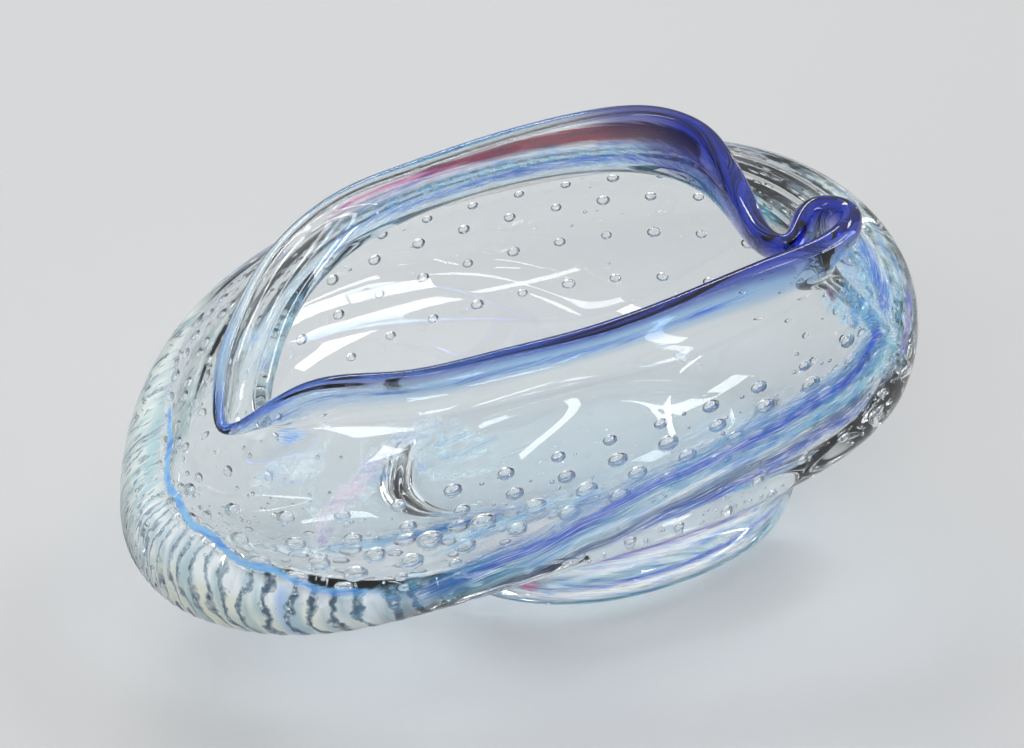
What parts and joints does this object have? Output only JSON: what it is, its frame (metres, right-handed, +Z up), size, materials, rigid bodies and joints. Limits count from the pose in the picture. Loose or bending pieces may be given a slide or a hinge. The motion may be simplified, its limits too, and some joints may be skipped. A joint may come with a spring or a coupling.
{
  "type": "glass bowl",
  "caption": "Free-form blown glass bowl with a thick clear body, trapped bubbles, and a folded leaf-shaped mouth with a blue lip.",
  "frame": {"origin": "middle of the flat oval foot, on the face that stands on the table", "axes": "+X along the bowl, from the beak to the curl in the lip; +Y to the high back rim; +Z up"},
  "size_m": [0.2088, 0.122, 0.1033],
  "materials": {
    "glass": "fire-polished clear glass with bubbles, a blue lip and blue and ruby streaks"
  },
  "bodies": {
    "root": {"glass_bowl": "glass"}
  },
  "joints": []
}
